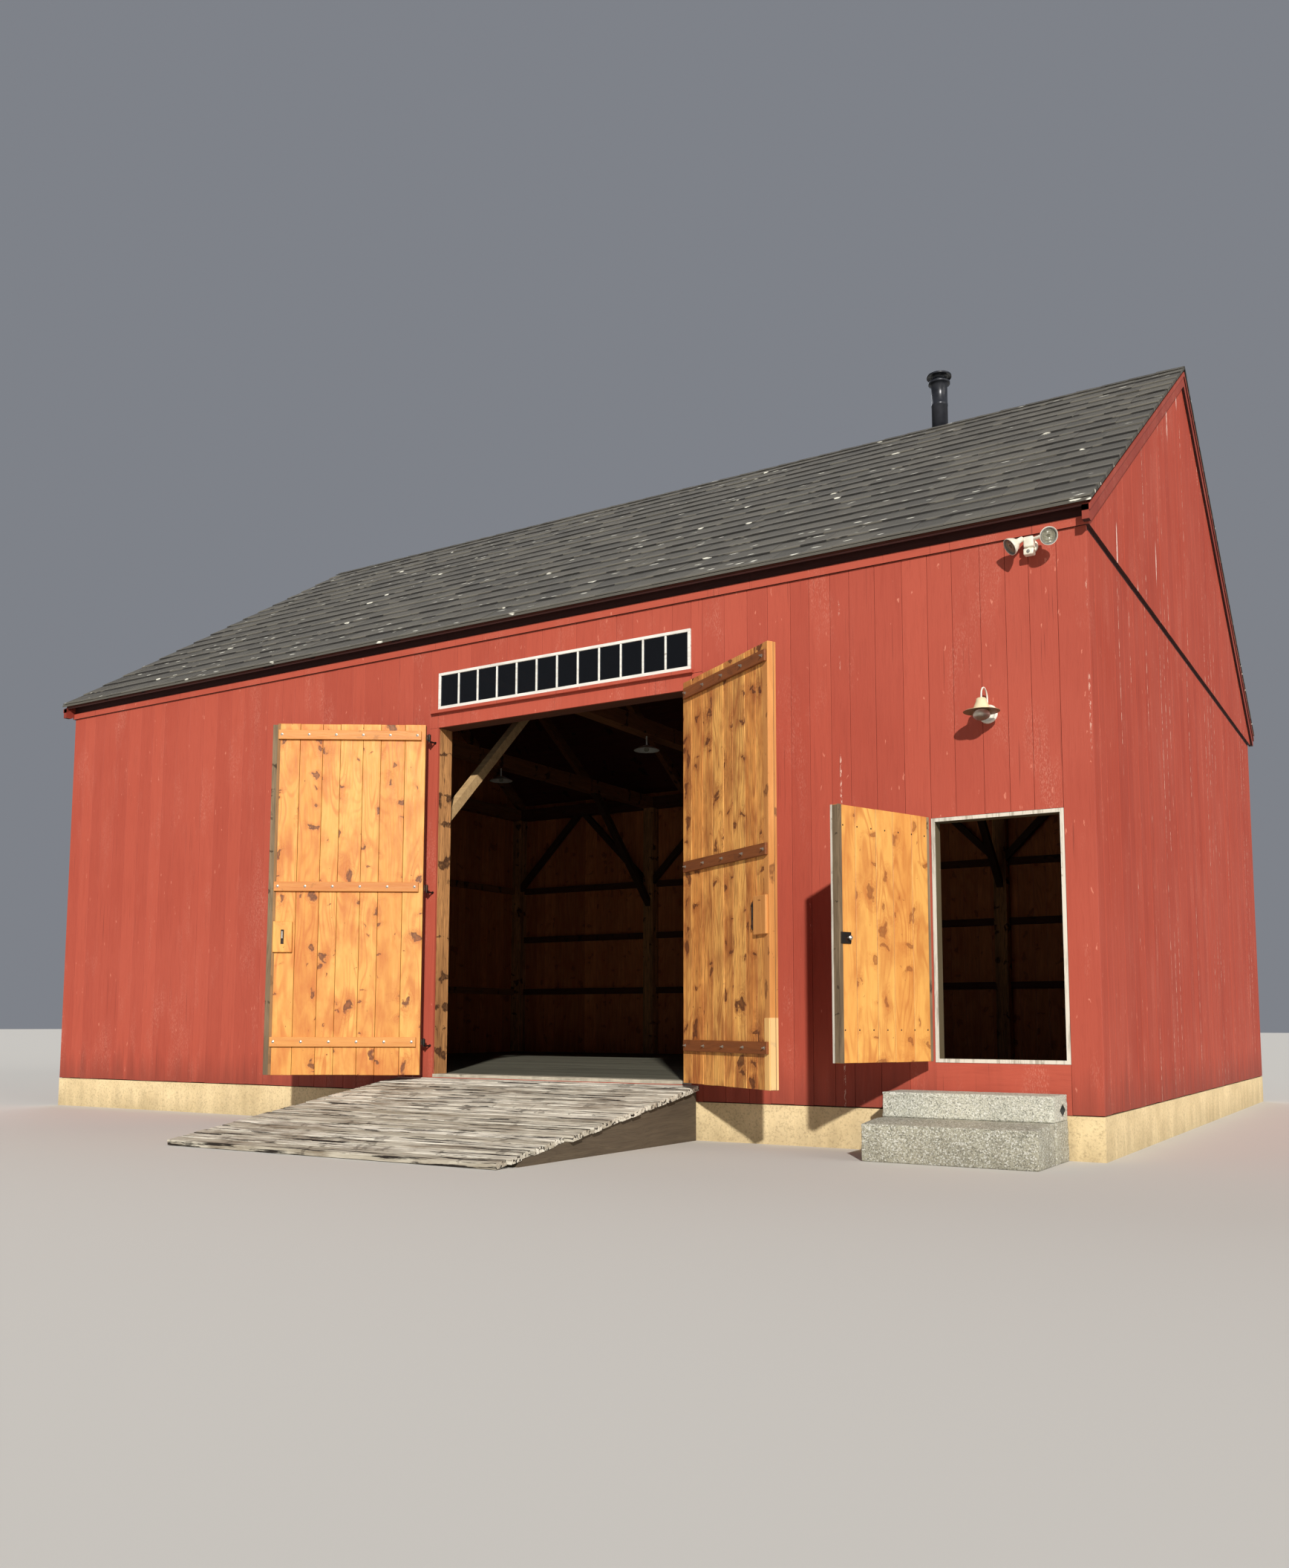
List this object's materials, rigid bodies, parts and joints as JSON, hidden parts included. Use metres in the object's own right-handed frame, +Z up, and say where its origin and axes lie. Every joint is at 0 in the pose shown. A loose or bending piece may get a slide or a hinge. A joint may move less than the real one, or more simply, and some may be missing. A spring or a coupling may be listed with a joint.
{
  "type": "timber-framed barn",
  "caption": "Gable-roofed timber barn with red board walls, open double plank doors over a ramp, a transom light and a side door above stone steps.",
  "frame": {"origin": "middle of the whole barn with its ramp, on the lowest ground", "axes": "+X to the right along the front, +Y from the front doors into the barn, +Z up"},
  "size_m": [13.19, 12.79, 9.4567],
  "materials": {
    "red_boards": "weathered red paint",
    "aged_timber": "rough",
    "pine": "oiled",
    "grey_planks": "weathered",
    "floor_planks": "worn paint",
    "white_wood": "painted",
    "shingles": "granular",
    "concrete": "rough",
    "granite": "split face",
    "glass": "clear",
    "iron": "black",
    "lamp_enamel": "satin",
    "flood_housing": "painted",
    "pendant_enamel": "satin",
    "pipe_steel": "matte"
  },
  "bodies": {
    "barn": {"foundation": "concrete", "sill_beams": "aged_timber", "floor_joists": "aged_timber", "posts": "aged_timber", "wall_plates": "aged_timber", "tie_beams": "aged_timber", "knee_braces": "aged_timber", "wall_girts": "aged_timber", "gable_girts": "aged_timber", "side_door_studs": "aged_timber", "rafters": "aged_timber", "roof_boards": "aged_timber", "floor_deck": "floor_planks", "front_roof": "shingles", "rear_roof": "shingles", "ridge_cap": "shingles", "front_wall_left": "red_boards", "front_wall_over_doors": "red_boards", "front_wall_middle": "red_boards", "front_wall_over_side_door": "red_boards", "front_wall_under_doors": "red_boards", "front_wall_right": "red_boards", "rear_wall": "red_boards", "left_gable_wall": "red_boards", "right_gable_wall": "red_boards", "left_gable_top": "red_boards", "right_gable_top": "red_boards", "front_cornice": "red_boards", "rear_cornice": "red_boards", "rake_boards": "red_boards", "door_casings": "red_boards", "door_sill": "grey_planks", "ramp_deck": "grey_planks", "ramp_stringers": "grey_planks", "transom_frame": "white_wood", "side_door_frame": "white_wood", "transom_glass": "glass", "hinge_pintles": "iron", "barn_lamp": "lamp_enamel", "floodlight": "flood_housing", "pendant_lamps": "pendant_enamel", "stove_pipe": "pipe_steel", "lower_step": "granite", "upper_step": "granite"},
    "left_leaf": {"left_leaf_siding": "red_boards", "left_leaf_boards": "pine", "left_leaf_battens": "pine", "left_leaf_ironwork": "iron"},
    "right_leaf": {"right_leaf_siding": "red_boards", "right_leaf_boards": "pine", "right_leaf_battens": "pine", "right_leaf_ironwork": "iron"},
    "side_door": {"side_door_siding": "red_boards", "side_door_boards": "pine", "side_door_ironwork": "iron"}
  },
  "joints": [
    {"name": "left_leaf_hinge", "type": "hinge", "parent": "barn", "child": "left_leaf", "pos_m": [-0.275, -3.545, 2.3], "axis": [0, 0, 1], "range_deg": [-23.5, 146.5]},
    {"name": "right_leaf_hinge", "type": "hinge", "parent": "barn", "child": "right_leaf", "pos_m": [2.91, -3.545, 2.3], "axis": [0, 0, -1], "range_deg": [-17.5, 147.5]},
    {"name": "side_door_hinge", "type": "hinge", "parent": "barn", "child": "side_door", "pos_m": [5.145, -3.545, 1.75], "axis": [0, 0, 1], "range_deg": [-15, 110]}
  ]
}
